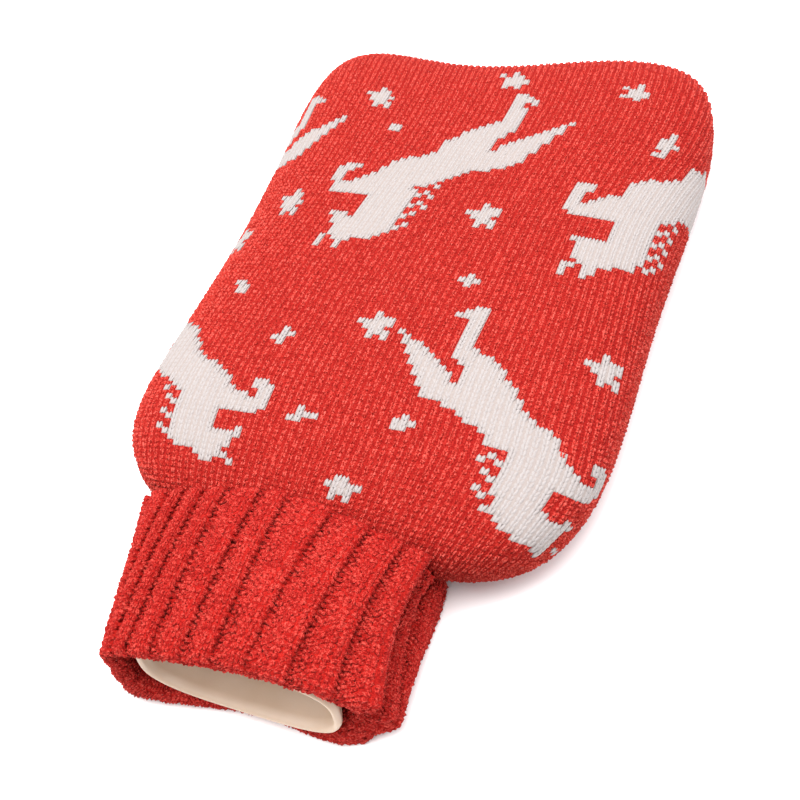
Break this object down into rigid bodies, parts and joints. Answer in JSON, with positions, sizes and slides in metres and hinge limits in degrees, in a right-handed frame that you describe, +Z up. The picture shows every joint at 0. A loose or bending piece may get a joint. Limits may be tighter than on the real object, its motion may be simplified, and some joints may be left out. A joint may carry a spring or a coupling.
{
  "type": "knitted hot water bottle cover with hot water bottle",
  "caption": "Knitted cover with a turned-down ribbed polo neck, drawn over a plump rubber hot water bottle whose flared filling funnel stands in the open neck",
  "frame": {"origin": "middle of the bounding box at the height of the surface that the cover lies on", "axes": "+Z up, +Y from the open neck towards the far end of the bottle, +X to the right when looking along +Y"},
  "size_m": [0.2048, 0.3552, 0.0476],
  "materials": {
    "chenille_yarn": "soft fuzzy chenille knit, red, with cream yarn for the figures",
    "rib_yarn": "soft fuzzy chenille rib, red",
    "natural_rubber": "smooth cream natural rubber with a dull sheen"
  },
  "bodies": {
    "root": {"front_panel": "chenille_yarn", "back_panel": "chenille_yarn", "polo_neck": "rib_yarn", "bottle": "natural_rubber"}
  },
  "joints": []
}
